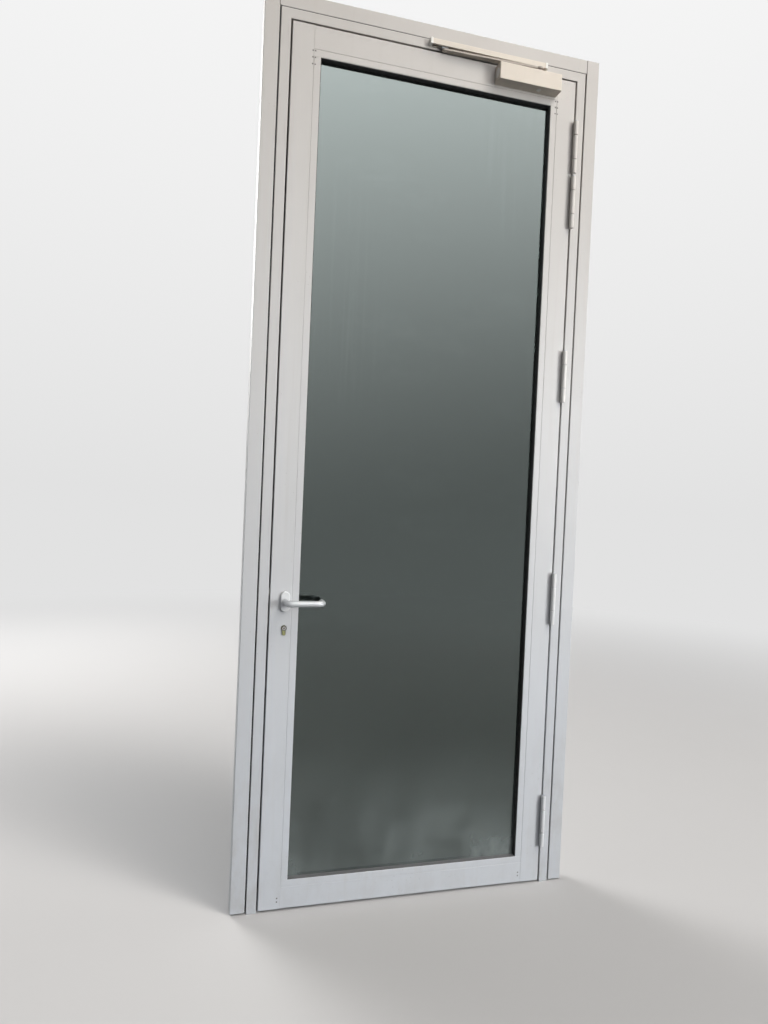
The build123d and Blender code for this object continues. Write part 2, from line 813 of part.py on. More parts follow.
# Mortise lock case, open at the front where the faceplate closes it
with BuildPart() as lock_case:
    half = case_thickness / 2
    case_back = plate_back + case_depth
    block((plate_back, -half, case_low), (case_back, half, case_high))
    hollow_end = (case_back - case_wall, half - case_wall, case_high - case_wall)
    block((plate_back, -half + case_wall, case_low + case_wall), hollow_end, mode=Mode.SUBTRACT)
    for near, far in ((case_low, plate_low - case_lug), (case_high, plate_high + case_lug)):
        block((plate_back, -half, near), (plate_back + case_lug_thickness, half, far))
    boss_hole = follower_boss_radius + plug_clearance
    rod((handle_x, -half, handle_height), (0, 1, 0), boss_hole, case_thickness, mode=Mode.SUBTRACT)
    extrude(cylinder_outline(half, cylinder_bore_clearance), amount=case_thickness, mode=Mode.SUBTRACT)
    for z in plate_screw_heights:
        hole = small_screw_radius + screw_clearance
        rod((plate_back, 0, z), (1, 0, 0), hole, case_lug_thickness, mode=Mode.SUBTRACT)
save(lock_case, "lock_case")

# Faceplate, flush in the edge of the lock stile
with BuildPart() as lock_faceplate:
    with BuildSketch(Plane.YZ.offset(-leaf_half)):
        with Locations((0, (plate_low + plate_high) / 2)):
            SlotOverall(plate_high - plate_low, faceplate_width, rotation=90)
        for z, height, thickness in ((latch_z, latch_height, latch_thickness),
                                     (deadbolt_z, deadbolt_height, deadbolt_thickness)):
            rise = height / 2 + lock_slot_clearance
            reach = thickness / 2 + lock_slot_clearance
            area((-reach, z - rise), (reach, z + rise), mode=Mode.SUBTRACT)
    extrude(amount=profile_wall)
    for z in plate_screw_heights:
        countersunk_hole((-leaf_half, 0, z), (1, 0, 0), *small_screw)
save(lock_faceplate, "lock_faceplate")

with BuildPart() as faceplate_screws:
    for z in plate_screw_heights:
        countersunk_screw((-leaf_half, 0, z), (1, 0, 0), *small_screw)
save(faceplate_screws, "faceplate_screws")

# Latch bolt: bevelled head, tail bar, and the hook that the follower's finger pulls
with BuildPart() as latch_bolt:
    tip = -leaf_half - latch_throw
    head_end = tip + latch_throw + latch_head_length
    with BuildSketch(Plane.XY.offset(latch_z - latch_height / 2)):
        with BuildLine():
            half = latch_thickness / 2
            Polyline((tip, -half), (head_end, -half), (head_end, half), (-leaf_half, half),
                     (tip, half - latch_throw), (tip, -half))
        make_face()
    extrude(amount=latch_height)
    tail = latch_tail_thickness / 2
    hook_left = handle_x - hook_offset
    bar_low = latch_z + latch_height / 2 - latch_tail_height
    hook_right = hook_left + hook_width
    block((head_end, -tail, bar_low), (hook_right, tail, latch_z + latch_height / 2))
    block((hook_left, -tail, bar_low - hook_drop), (hook_right, tail, bar_low))
save(latch_bolt, "latch_bolt")

# Deadbolt, drawn back flush with the faceplate
with BuildPart() as deadbolt:
    half = deadbolt_thickness / 2
    block((-leaf_half, -half, deadbolt_z - deadbolt_height / 2),
          (-leaf_half + deadbolt_throw + deadbolt_hold, half, deadbolt_z + deadbolt_height / 2))
    fillet(deadbolt.faces().sort_by(Axis.X)[0].edges(), radius=edge_radius / 2)
save(deadbolt, "deadbolt")

# Follower: the hub that the spindle turns inside the lock
with BuildPart() as lock_follower:
    hub_half = case_thickness / 2 - case_wall - follower_clearance
    rod((handle_x, -hub_half, handle_height), (0, 1, 0), follower_radius, 2 * hub_half)
    rod((handle_x, -case_thickness / 2, handle_height), (0, 1, 0), follower_boss_radius, case_thickness)
    with BuildSketch(Plane(origin=(handle_x, 0, handle_height), x_dir=(1, 0, 0), z_dir=(0, -1, 0))):
        with Locations(Rot(0, 0, finger_lean) * Pos(0, finger_reach / 2)):
            Rectangle(finger_width, finger_reach)
    extrude(amount=latch_tail_thickness / 2, both=True)
    with BuildSketch(Plane(origin=(handle_x, 0, handle_height), z_dir=(0, -1, 0))):
        Rectangle(spindle_side + 2 * spindle_clearance, spindle_side + 2 * spindle_clearance)
    extrude(amount=case_thickness, both=True, mode=Mode.SUBTRACT)
save(lock_follower, "lock_follower")

# Square spindle through the lock, into both levers
with BuildPart() as handle_spindle:
    half = spindle_side / 2
    block((handle_x - half, -spindle_length / 2, handle_height - half),
          (handle_x + half, spindle_length / 2, handle_height + half))
save(handle_spindle, "handle_spindle")


def rosette(face):
    """An oval rosette on one face of the stile, -1 outside and 1 inside."""
    seat = face * leaf_depth / 2
    with BuildPart() as plate:
        centre = (handle_x, seat, handle_height)
        with BuildSketch(Plane(origin=centre, x_dir=(1, 0, 0), z_dir=(0, face, 0))):
            SlotOverall(rosette_height, rosette_width, rotation=90)
            Circle(lever_radius + neck_clearance, mode=Mode.SUBTRACT)
        extrude(amount=rosette_thickness)
        rim = plate.faces().sort_by(Axis.Y)[0 if face < 0 else -1].outer_wire()
        fillet(rim.edges(), radius=rosette_edge)
    return plate


def lever(face):
    """A round-bar lever with a bored return, on one face of the stile, -1 outside and 1 inside."""
    seat = face * (leaf_depth / 2 + lever_foot_gap)
    bar_y = face * (leaf_depth / 2 + lever_projection)
    end_y = face * (leaf_depth / 2 + lever_end_gap)
    with BuildPart() as bar:
        with BuildLine() as path:
            FilletPolyline((handle_x, seat, handle_height), (handle_x, bar_y, handle_height),
                           (handle_x + lever_reach, bar_y, handle_height),
                           (handle_x + lever_reach, end_y, handle_height), radius=lever_bend)
        with BuildSketch(Plane(origin=path.line @ 0, z_dir=path.line % 0)):
            Circle(lever_radius)
        sweep()
        tip = bar.faces().filter_by(GeomType.PLANE).sort_by(Axis.X)[-1]
        fillet(tip.edges(), radius=lever_end_round)
        end = (handle_x + lever_reach, end_y, handle_height)
        rod(end, (0, face, 0), lever_end_bore, lever_end_bore_depth, mode=Mode.SUBTRACT)
        socket = spindle_side / 2 + spindle_clearance
        block((handle_x - socket, seat, handle_height - socket),
              (handle_x + socket, face * (spindle_length / 2 + spindle_clearance), handle_height + socket),
              mode=Mode.SUBTRACT)
    return bar


for face, place in ((-1, "outer"), (1, "inner")):
    save(rosette(face), f"rosette_{place}")
    save(lever(face), f"lever_{place}")

# Profile cylinder, cut away in the middle for the cam
with BuildPart() as cylinder_body:
    cylinder_end = leaf_back + cylinder_proud
    extrude(cylinder_outline(cylinder_end, 0), amount=2 * cylinder_end)
    bore = plug_radius + plug_clearance
    rod((handle_x, -cylinder_end, cylinder_z), (0, 1, 0), bore, 2 * cylinder_end, mode=Mode.SUBTRACT)
    slot_half = cam_width / 2 + cam_slot_clearance
    rod((handle_x, -slot_half, cylinder_z), (0, 1, 0), cam_reach + cam_slot_clearance, 2 * slot_half,
        mode=Mode.SUBTRACT)
save(cylinder_body, "cylinder_body")

# Plug of the cylinder with the cam that drives the deadbolt, turned as one
with BuildPart() as cylinder_plug:
    rod((handle_x, -cylinder_end, cylinder_z), (0, 1, 0), plug_radius, 2 * cylinder_end)
    rod((handle_x, -cam_width / 2, cylinder_z), (0, 1, 0), barrel_radius, cam_width)
    lobe_end = cam_reach - cam_lobe_width / 2
    block((handle_x - cam_lobe_width / 2, -cam_width / 2, cylinder_z),
          (handle_x + cam_lobe_width / 2, cam_width / 2, cylinder_z - lobe_end))
    rod((handle_x, -cam_width / 2, cylinder_z - lobe_end), (0, 1, 0), cam_lobe_width / 2, cam_width)
    keyway_top = cylinder_z + plug_radius / 2
    for face in (-1, 1):
        keyway_mouth = (handle_x - keyway_width / 2, face * cylinder_end, keyway_top - keyway_height)
        keyway_end = (handle_x + keyway_width / 2, face * (cylinder_end - keyway_depth), keyway_top)
        block(keyway_mouth, keyway_end, mode=Mode.SUBTRACT)
save(cylinder_plug, "cylinder_plug")

# Door closer housing, bored for the piston and for the shaft
with BuildPart() as closer_body:
    block((closer_left, leaf_front - closer_depth, closer_low), (closer_right, leaf_front, closer_high))
    front_edges = closer_body.faces().sort_by(Axis.Y)[0].edges()
    fillet(front_edges, radius=closer_edge)
    rod((closer_left, closer_y, closer_z), (1, 0, 0), closer_bore_radius, closer_length - closer_bore_end,
        mode=Mode.SUBTRACT)
    rod((closer_shaft_x, closer_y, closer_low), (0, 0, 1), shaft_radius + shaft_clearance, closer_height,
        mode=Mode.SUBTRACT)
save(closer_body, "closer_body")

# Screwed plug in the end of the bore, and the round cap under the shaft
with BuildPart() as closer_plugs:
    rod((closer_left, closer_y, closer_z), (1, 0, 0), closer_bore_radius, closer_plug_length)
    rod((closer_shaft_x, closer_y, closer_low), (0, 0, -1), underside_cap_radius, underside_cap_proud)
save(closer_plugs, "closer_plugs")


def arm_turn():
    """How far the arm turns on the leaf, in radians, as the leaf swings to its limit."""
    swing = radians(swing_limit)
    offset = closer_y - hinge_y
    shaft_open = offset * cos(swing) - spindle_from_axis * sin(swing)
    lean_closed = asin((rail_y - closer_y) / arm_length)
    lean_open = asin((rail_y - hinge_y - shaft_open) / arm_length)
    return swing + lean_open - lean_closed


def cam_reach_at(angle):
    """The closer cam's radius: it grows steadily over the arm's turn, then falls back to where it began."""
    lead = radians(cam_lead)
    run = arm_turn() + 2 * lead
    slope = roller_travel / arm_turn()
    low = roller_start - roller_radius - roller_clearance - slope * lead
    rise = slope * run
    if angle <= run:
        return low + slope * angle
    return low + rise * (2 * pi - angle) / (2 * pi - run)


# Closer shaft: foot journal, spiral cam, upper journal and the square that carries the arm
with BuildPart() as closer_shaft:
    cam_low = closer_z - cam_height / 2
    cam_high = closer_z + cam_height / 2
    cam_points = []
    for step in range(cam_steps):
        angle = 2 * pi * step / cam_steps
        heading = pi - radians(cam_lead) + angle
        reach = cam_reach_at(angle)
        cam_points.append((closer_shaft_x + reach * cos(heading), closer_y + reach * sin(heading)))
    with BuildSketch(Plane.XY.offset(cam_low)):
        with BuildLine():
            Polyline(*cam_points, close=True)
        make_face()
    extrude(amount=cam_height)
    foot = (closer_shaft_x, closer_y, closer_low + shaft_foot)
    rod(foot, (0, 0, 1), shaft_radius, cam_low - closer_low - shaft_foot)
    rod((closer_shaft_x, closer_y, cam_high), (0, 0, 1), shaft_radius, arm_low - cam_high)
    half = arm_square / 2
    square_low = (closer_shaft_x - half, closer_y - half, arm_low)
    block(square_low, (closer_shaft_x + half, closer_y + half, arm_high))
save(closer_shaft, "closer_shaft")

# Closer piston with the roller that rides on the cam
with BuildPart() as closer_piston:
    roller_x = closer_shaft_x - roller_start
    piston_right = roller_x - roller_radius / 2
    piston_start = (piston_right - piston_length, closer_y, closer_z)
    rod(piston_start, (1, 0, 0), closer_bore_radius - piston_clearance, piston_length)
    rod((roller_x, closer_y, closer_z - roller_height / 2), (0, 0, 1), roller_radius, roller_height)
save(closer_piston, "closer_piston")

# Closer spring, between the piston and the end plug
with BuildPart() as closer_spring:
    spring_start = closer_left + closer_plug_length + closer_spring_wire
    spring_end = piston_right - piston_length - closer_spring_wire
    with BuildLine() as coil:
        Helix(pitch=(spring_end - spring_start) / closer_spring_turns, height=spring_end - spring_start,
              radius=closer_spring_radius, center=(spring_start, closer_y, closer_z), direction=(1, 0, 0))
    with BuildSketch(Plane(origin=coil.line @ 0, z_dir=coil.line % 0)):
        Circle(closer_spring_wire)
    sweep()
save(closer_spring, "closer_spring")

# Closer arm, from the shaft to the slider's pivot
with BuildPart() as closer_arm:
    shaft_point = Vector(closer_shaft_x, closer_y)
    pivot_point = Vector(slider_x, rail_y)
    middle = (shaft_point + pivot_point) / 2
    lean = Vector(-1, 0).get_signed_angle(pivot_point - shaft_point, Vector(0, 0, 1))
    with BuildSketch(Plane.XY.offset(arm_low)):
        with Locations((shaft_point.X, shaft_point.Y)):
            Circle(arm_hub_radius)
        with Locations((pivot_point.X, pivot_point.Y)):
            Circle(arm_eye_radius)
        with Locations(Location((middle.X, middle.Y), lean)):
            Rectangle(arm_length, arm_width)
        with Locations((shaft_point.X, shaft_point.Y)):
            square = arm_square + 2 * arm_square_clearance
            Rectangle(square, square, mode=Mode.SUBTRACT)
    extrude(amount=arm_thickness)
    rod((slider_x, rail_y, arm_low), (0, 0, -1), rivet_radius, rivet_height)
save(closer_arm, "closer_arm")

# Slider in the guide rail, whose neck ends just above the arm's eye
with BuildPart() as rail_slider:
    inside = rail_section / 2 - rail_wall - slider_clearance
    block((slider_x - slider_length / 2, rail_y - inside, rail_z - inside),
          (slider_x + slider_length / 2, rail_y + inside, rail_z + inside))
    block((slider_x - slider_neck_length / 2, rail_y - slider_neck_width / 2, arm_high + open_pivot_gap),
          (slider_x + slider_neck_length / 2, rail_y + slider_neck_width / 2, rail_z))
save(rail_slider, "rail_slider")
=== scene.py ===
import json
import math

import bpy
from mathutils import Matrix, Quaternion, Vector


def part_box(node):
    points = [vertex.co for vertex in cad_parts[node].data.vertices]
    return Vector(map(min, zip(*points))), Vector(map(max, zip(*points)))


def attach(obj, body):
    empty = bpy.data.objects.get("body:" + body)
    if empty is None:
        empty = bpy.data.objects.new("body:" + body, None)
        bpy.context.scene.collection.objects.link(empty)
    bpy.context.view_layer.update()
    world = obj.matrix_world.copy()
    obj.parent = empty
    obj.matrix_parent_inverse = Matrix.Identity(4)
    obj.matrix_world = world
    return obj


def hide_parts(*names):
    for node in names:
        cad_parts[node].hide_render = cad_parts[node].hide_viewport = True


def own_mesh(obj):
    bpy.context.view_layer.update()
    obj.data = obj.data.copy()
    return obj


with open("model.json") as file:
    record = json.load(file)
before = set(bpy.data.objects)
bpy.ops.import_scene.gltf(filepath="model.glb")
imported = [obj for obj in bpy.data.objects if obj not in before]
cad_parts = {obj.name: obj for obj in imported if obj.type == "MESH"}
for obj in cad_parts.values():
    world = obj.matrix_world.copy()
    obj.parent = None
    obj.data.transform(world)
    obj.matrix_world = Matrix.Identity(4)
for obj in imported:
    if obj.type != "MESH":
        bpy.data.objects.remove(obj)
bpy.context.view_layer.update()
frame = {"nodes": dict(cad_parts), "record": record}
nodes = frame["nodes"]
scene = bpy.context.scene

# Axes of the shared frame: across the door, and up
ACROSS, UP = 0, 2

# The places of a colour Mix node's sockets in its lists
MIX_FIRST, MIX_SECOND, MIX_RESULT = 6, 7, 2

# Colours of the studio
BACKGROUND = (0.76, 0.76, 0.76)
BACKGROUND_HIGH = (0.92, 0.92, 0.92)
FLOOR_SEEN = (0.62, 0.615, 0.61)
FLOOR_BOUNCE = (0.075, 0.08, 0.088)
WORLD_LIGHT = (0.90, 0.94, 1.0)
WORLD_STRENGTH = 0.17

# How far up a view has to point, from 0 to 1, to see the high background's full colour
HIGH_BACKGROUND_RISE = 0.6

# Colours of dirt and of painted shade, and the factors of painted light by which lacquer goes from cool at
# the foot to warm at the top
# The dark of pin stains and butt joints, also painted shade in corners and gaps
GRIME_AND_SHADE = (0.11, 0.095, 0.08)
# Painted shade near the top, warm, as under an overhang
OVERHANG_SHADE = (0.39, 0.34, 0.285)
STREET_DUST = (0.40, 0.365, 0.32)
GLASS_DUST = (0.40, 0.45, 0.445)
MOULDING_DUST = (0.34, 0.34, 0.35)
# Painted light: cool at the foot, warm at the top
COOL_LIGHT_FACTORS = (0.95, 0.99, 1.045)
WARM_LIGHT_FACTORS = (1.02, 1.0, 0.975)
GLASS_MIRROR_TINT = (0.9, 1.0, 0.97)

# Heights in metres between which a finish or its painted light and shade changes
# Where the painted light goes from cool to warm
LIGHT_DRIFT_HEIGHTS = (0.1, 2.4)
FOOT_DUST_HEIGHTS = (0.02, 0.95)
# Painted shade near the top
OVERHANG_SHADE_HEIGHTS = (1.7, 3.2)
GLASS_HAZE_HEIGHTS = (0.1, 0.62)

# How strongly each mark shows at most, from 0 to 1
CLOUD_SHARE = 0.12
RUN_SHARE = 0.16
SPECK_SHARE = 0.5
# Painted shade in corners and gaps
CREVICE_SHADE_SHARE = 0.34
PIN_STAIN_SHARE = 0.75
JOINT_SHARE = 0.85
STREAK_SHARE = 0.06
DROP_SHARE = 0.1
WIPE_SHARE = 0.05
DARK_RING_SHARE = 0.95
# Painted shade at the keyway
KEYWAY_SHADE_SHARE = 0.95

# Reaches of small marks, in metres
# Reach and samples of the painted shade in corners and gaps
CREVICE_REACH = 0.009
CREVICE_SAMPLES = 8
PIN_STAIN_REACH = (0.0012, 0.0048)
JOINT_REACH = (0.001, 0.0024)
JOINT_EDGE = 0.001
# Painted shade at the keyway
KEYWAY_SHADE_REACH = (0.0018, 0.0038)
DARK_RING_EDGE = 0.001

LACQUER_ROUGHNESS = 0.45
MOULDING_ROUGHNESS = 0.5
RING_RADIANS_PER_METRE = 9000.0

# Sizes on the door, in metres. The cam's disc is the highest thing on the cylinder's plug
PIN_REACH = 0.006
CAM_DISC_RADIUS = 0.0085
BRASS_DARK_RING_RADIUS = 0.0078

# Edges that are sharper than this stay crisp
SHARP_ANGLE = math.radians(28)

# The closer's coil spring
SPRING_WIRE = 0.0018
SPRING_TURNS = 9
SPRING_POINTS_PER_TURN = 16
SPRING_WIRE_ROUNDNESS = 3
CLOSED_TURN_PITCH = 2.1 * SPRING_WIRE

# The floor, and how lamps fade over their own face
FLOOR_REACH = 14
FLOOR_DEPTH = 0.0005
FLOOR_FADE = (2.0, 8.0)
LAMP_FACE_MIDDLE = (0.5, 0.5, 0)
LAMP_FADE = (0.1, 0.5)
WINDOW_FADE_POWER = 1.7

# The photograph's camera: focal length and picture height in pixels, then place and turn
FOCAL_PIXELS = 710
PICTURE_HEIGHT = 1024
SENSOR_WIDTH = 36
CLIP_START = 0.05
CAMERA_PLACE = (-0.8154, -2.4558, 1.4534)
CAMERA_YAW_PITCH_ROLL = (-15.4821, -1.2224, -2.4826)


def ease(tree, value, start, end, low=0.0, high=1.0):
    """The value's place between start and end, from low to high, eased and held there outside."""
    node = tree.nodes.new("ShaderNodeMapRange")
    node.interpolation_type = "SMOOTHSTEP"
    for name, number in (("From Min", start), ("From Max", end), ("To Min", low), ("To Max", high)):
        node.inputs[name].default_value = number
    tree.links.new(value, node.inputs["Value"])
    return node.outputs["Result"]


class Paint:
    """One procedural material, built node by node in the frame's own coordinates, in metres."""

    def __init__(self, name):
        self.material = bpy.data.materials.new(name)
        self.material.use_nodes = True
        self.tree = self.material.node_tree
        self.tree.nodes.clear()
        self.shader = self.tree.nodes.new("ShaderNodeBsdfPrincipled")
        self.output = self.tree.nodes.new("ShaderNodeOutputMaterial")
        self.tree.links.new(self.shader.outputs["BSDF"], self.output.inputs["Surface"])
        self.place = self.tree.nodes.new("ShaderNodeTexCoord").outputs["Object"]
        self.relief = None

    def put(self, socket, value):
        """Sets a socket to a plain value, or joins it to another node's output."""
        if isinstance(value, bpy.types.NodeSocket):
            self.tree.links.new(value, socket)
        elif isinstance(value, (tuple, list)) and len(value) == 3 and len(socket.default_value) == 4:
            socket.default_value = (*value, 1)
        else:
            socket.default_value = value

    def set(self, **sockets):
        """Sets the shader's sockets by name, with underscores for spaces."""
        for name, value in sockets.items():
            label = name.replace("_", " ").title().replace("Ior", "IOR")
            self.put(self.shader.inputs[label], value)

    def stretched(self, stretch, shift=0.0):
        """The place with each axis scaled, so that a small number draws a pattern out."""
        mapping = self.tree.nodes.new("ShaderNodeMapping")
        self.put(mapping.inputs["Vector"], self.place)
        mapping.inputs["Scale"].default_value = stretch
        mapping.inputs["Location"].default_value = (shift, shift, shift)
        return mapping.outputs["Vector"]

    def noise(self, scale, detail, stretch=(1, 1, 1), roughness=0.5, shift=0.0):
        """A noise value from 0 to 1."""
        noise = self.tree.nodes.new("ShaderNodeTexNoise")
        self.put(noise.inputs["Vector"], self.stretched(stretch, shift))
        noise.inputs["Scale"].default_value = scale
        noise.inputs["Detail"].default_value = detail
        noise.inputs["Roughness"].default_value = roughness
        return noise.outputs["Fac"]

    def cells(self, scale, stretch=(1, 1, 1)):
        """The distance to the nearest of many scattered points."""
        cells = self.tree.nodes.new("ShaderNodeTexVoronoi")
        self.put(cells.inputs["Vector"], self.stretched(stretch))
        cells.inputs["Scale"].default_value = scale
        return cells.outputs["Distance"]

    def along(self, axis):
        """The coordinate along one axis."""
        split = self.tree.nodes.new("ShaderNodeSeparateXYZ")
        self.put(split.inputs[0], self.place)
        return split.outputs[axis]

    def facing_up(self):
        """One on level tops, zero on upright faces and minus one on undersides."""
        split = self.tree.nodes.new("ShaderNodeSeparateXYZ")
        self.put(split.inputs[0], self.tree.nodes.new("ShaderNodeNewGeometry").outputs["Normal"])
        return split.outputs[UP]

    def crevice_shade(self):
        """The mask of painted shade: one deep in corners and narrow gaps, zero on open surfaces."""
        node = self.tree.nodes.new("ShaderNodeAmbientOcclusion")
        node.samples = CREVICE_SAMPLES
        node.inputs["Distance"].default_value = CREVICE_REACH
        return self.span(node.outputs["AO"], 0.15, 0.8, low=1, high=0)

    def near(self, points):
        """The distance to the nearest of a few points, each an (x, z) place on the outside face."""
        flat = self.tree.nodes.new("ShaderNodeVectorMath")
        flat.operation = "MULTIPLY"
        self.put(flat.inputs[0], self.place)
        flat.inputs[1].default_value = (1, 0, 1)
        nearest = None
        for x, z in points:
            node = self.tree.nodes.new("ShaderNodeVectorMath")
            node.operation = "DISTANCE"
            self.put(node.inputs[0], flat.outputs["Vector"])
            node.inputs[1].default_value = (x, 0, z)
            distance = node.outputs["Value"]
            nearest = distance if nearest is None else self.combine("MINIMUM", nearest, distance)
        return nearest

    def span(self, value, start, end, low=0.0, high=1.0):
        """The value's place between start and end, as in ease."""
        return ease(self.tree, value, start, end, low, high)

    def combine(self, operation, first, second=0.0):
        """One or two values worked on by a Math node."""
        node = self.tree.nodes.new("ShaderNodeMath")
        node.operation = operation
        self.put(node.inputs[0], first)
        self.put(node.inputs[1], second)
        return node.outputs[0]

    def times(self, first, *others):
        """All the values multiplied."""
        for other in others:
            first = self.combine("MULTIPLY", first, other)
        return first

    def mix(self, share, first, second):
        """A colour between two colours."""
        node = self.tree.nodes.new("ShaderNodeMix")
        node.data_type = "RGBA"
        self.put(node.inputs["Factor"], share)
        self.put(node.inputs[MIX_FIRST], first)
        self.put(node.inputs[MIX_SECOND], second)
        return node.outputs[MIX_RESULT]

    def bump(self, height, strength, distance):
        """Adds a relief to the surface, on top of any before it."""
        node = self.tree.nodes.new("ShaderNodeBump")
        node.inputs["Strength"].default_value = strength
        node.inputs["Distance"].default_value = distance
        self.put(node.inputs["Height"], height)
        if self.relief:
            self.put(node.inputs["Normal"], self.relief)
        self.relief = node.outputs["Normal"]
        self.put(self.shader.inputs["Normal"], self.relief)


def shade(colour, factor):
    """The colour made lighter or darker."""
    return tint(colour, (factor, factor, factor))


def tint(colour, factors):
    """The colour with each channel scaled by its own factor."""
    return tuple(min(1, channel * factor) for channel, factor in zip(colour, factors))


def foot_film(paint, height, strength):
    """Patchy dust near the floor."""
    low = paint.span(height, *FOOT_DUST_HEIGHTS, low=1, high=0)
    patches = paint.noise(scale=16, detail=6, stretch=(1, 1, 0.5), roughness=0.65)
    return paint.times(low, paint.span(patches, 0.38, 0.72), strength)


def specks(paint):
    """Small dark specks, gathered in some areas."""
    dots = paint.span(paint.cells(scale=75), 0.07, 0.1, low=1, high=0)
    areas = paint.span(paint.noise(scale=5, detail=2, shift=3.7), 0.56, 0.66)
    return paint.times(dots, areas, SPECK_SHARE)


def pin_stain(paint, pins):
    """Ragged stains about the pins."""
    ragged = paint.span(paint.noise(scale=420, detail=3), 0.35, 0.6)
    return paint.times(paint.span(paint.near(pins), *PIN_STAIN_REACH, low=PIN_STAIN_SHARE, high=0), ragged)


def joint_line(paint, height, x, z):
    """The dark butt joint above z, at x on both sides."""
    aside = paint.combine("SUBTRACT", paint.combine("ABSOLUTE", paint.along(ACROSS)), x)
    aside = paint.combine("ABSOLUTE", aside)
    line = paint.span(aside, *JOINT_REACH, low=JOINT_SHARE, high=0)
    return paint.times(line, paint.span(height, z, z + JOINT_EDGE))


def lacquer(name, colour, foot_dust=0.5, overhang_shade=0.5, pins=(), joints=None):
    """A sprayed lacquer: cloudy tone, run marks, specks, dust, painted shade in corners and orange peel,
    with painted light cool at the foot and warm at the top, and painted shade near the top.

    Pins are places with a stain about them, and joints is the (x, z) where a dark butt joint starts."""
    paint = Paint(name)
    height = paint.along(UP)
    # Painted light: the tone is cool at the foot and warm at the top
    light_drift = paint.span(height, *LIGHT_DRIFT_HEIGHTS)
    tone = paint.mix(light_drift, tint(colour, COOL_LIGHT_FACTORS), tint(colour, WARM_LIGHT_FACTORS))
    clouds = paint.noise(scale=2.2, detail=5, stretch=(1, 1, 0.45))
    tone = paint.mix(paint.span(clouds, 0.3, 0.7, high=CLOUD_SHARE), tone, shade(STREET_DUST, 1.1))
    runs = paint.noise(scale=38, detail=4, stretch=(1, 1, 0.035))
    tone = paint.mix(paint.span(runs, 0.52, 0.8, high=RUN_SHARE), tone, shade(STREET_DUST, 1.25))
    tone = paint.mix(foot_film(paint, height, foot_dust), tone, STREET_DUST)
    # Painted shade near the top, as under an overhang
    tone = paint.mix(paint.span(height, *OVERHANG_SHADE_HEIGHTS, high=overhang_shade), tone, OVERHANG_SHADE)
    tone = paint.mix(specks(paint), tone, shade(STREET_DUST, 0.35))
    # Painted shade in corners and gaps, with the real pin stains and butt joints
    grime_and_shade = paint.times(paint.crevice_shade(), CREVICE_SHADE_SHARE)
    if pins:
        grime_and_shade = paint.combine("MAXIMUM", grime_and_shade, pin_stain(paint, pins))
    if joints:
        grime_and_shade = paint.combine("MAXIMUM", grime_and_shade, joint_line(paint, height, *joints))
    tone = paint.mix(grime_and_shade, tone, GRIME_AND_SHADE)
    gloss = paint.noise(scale=24, detail=4, shift=1.3)
    gloss = paint.span(gloss, 0.3, 0.75, LACQUER_ROUGHNESS - 0.05, LACQUER_ROUGHNESS + 0.09)
    paint.set(base_color=tone, roughness=gloss, specular_ior_level=0.4)
    paint.bump(paint.noise(scale=1400, detail=2), strength=0.12, distance=0.0002)
    paint.bump(paint.noise(scale=9, detail=2, stretch=(1, 1, 0.3)), strength=0.1, distance=0.002)
    return paint.material


def brushed(name, colour, grain, roughness=0.3, metallic=1.0, stain=0.1, dark_ring=None):
    """A brushed metal whose fine lines run along one direction. Grain scales each axis of the lines.

    The dark ring is the (x, z) of a round head that is painted darker, with its radius."""
    paint = Paint(name)
    lines = paint.noise(scale=900, detail=3, stretch=grain)
    clouds = paint.span(paint.noise(scale=30, detail=4), 0.35, 0.7, high=stain)
    tone = paint.mix(paint.span(lines, 0.3, 0.7), shade(colour, 0.9), shade(colour, 1.08))
    tone = paint.mix(clouds, tone, shade(colour, 0.45))
    if dark_ring:
        x, z, radius = dark_ring
        dark = paint.span(paint.near([(x, z)]), radius, radius + DARK_RING_EDGE, low=DARK_RING_SHARE, high=0)
        tone = paint.mix(dark, tone, shade(GRIME_AND_SHADE, 0.55))
    gloss = paint.span(lines, 0.25, 0.75, roughness - 0.06, roughness + 0.1)
    paint.set(base_color=tone, roughness=gloss, metallic=metallic)
    paint.bump(lines, strength=0.08, distance=0.0002)
    return paint.material


def moulded(name, colour, dust=0.15, ledge_dust=0.1):
    """A moulded plastic or rubber with a fine grain and some dust, more of it on what faces up."""
    paint = Paint(name)
    settled = paint.noise(scale=45, detail=5, roughness=0.6)
    tone = paint.mix(paint.span(settled, 0.45, 0.8, high=dust), colour, MOULDING_DUST)
    ledges = paint.span(paint.facing_up(), 0.3, 0.95, high=ledge_dust)
    tone = paint.mix(ledges, tone, MOULDING_DUST)
    gloss = paint.noise(scale=60, detail=3, shift=2.1)
    gloss = paint.span(gloss, 0.3, 0.7, MOULDING_ROUGHNESS - 0.06, MOULDING_ROUGHNESS + 0.08)
    paint.set(base_color=tone, roughness=gloss)
    paint.bump(paint.noise(scale=1100, detail=2), strength=0.2, distance=0.0002)
    return paint.material


def turned(name, colour, centre, roughness):
    """A turned metal face with fine rings about an axis along Y through (x, z), with painted shade at the
    keyway.
    """
    paint = Paint(name)
    across = paint.combine("SUBTRACT", paint.along(ACROSS), centre[0])
    rise = paint.combine("SUBTRACT", paint.along(UP), centre[1])
    square = paint.combine("ADD", paint.times(across, across), paint.times(rise, rise))
    rings = paint.combine("SINE", paint.times(paint.combine("SQRT", square), RING_RADIANS_PER_METRE))
    clouds = paint.span(paint.noise(scale=160, detail=4), 0.35, 0.7)
    tone = paint.mix(clouds, shade(colour, 0.82), shade(colour, 1.06))
    # Painted shade where the keyway's slot is
    keyway = paint.span(paint.near([centre]), *KEYWAY_SHADE_REACH, low=KEYWAY_SHADE_SHARE, high=0)
    tone = paint.mix(keyway, tone, shade(GRIME_AND_SHADE, 0.25))
    gloss = paint.span(rings, -1, 1, roughness - 0.05, roughness + 0.08)
    paint.set(base_color=tone, roughness=gloss, metallic=0.5)
    paint.bump(rings, strength=0.06, distance=0.0001)
    return paint.material


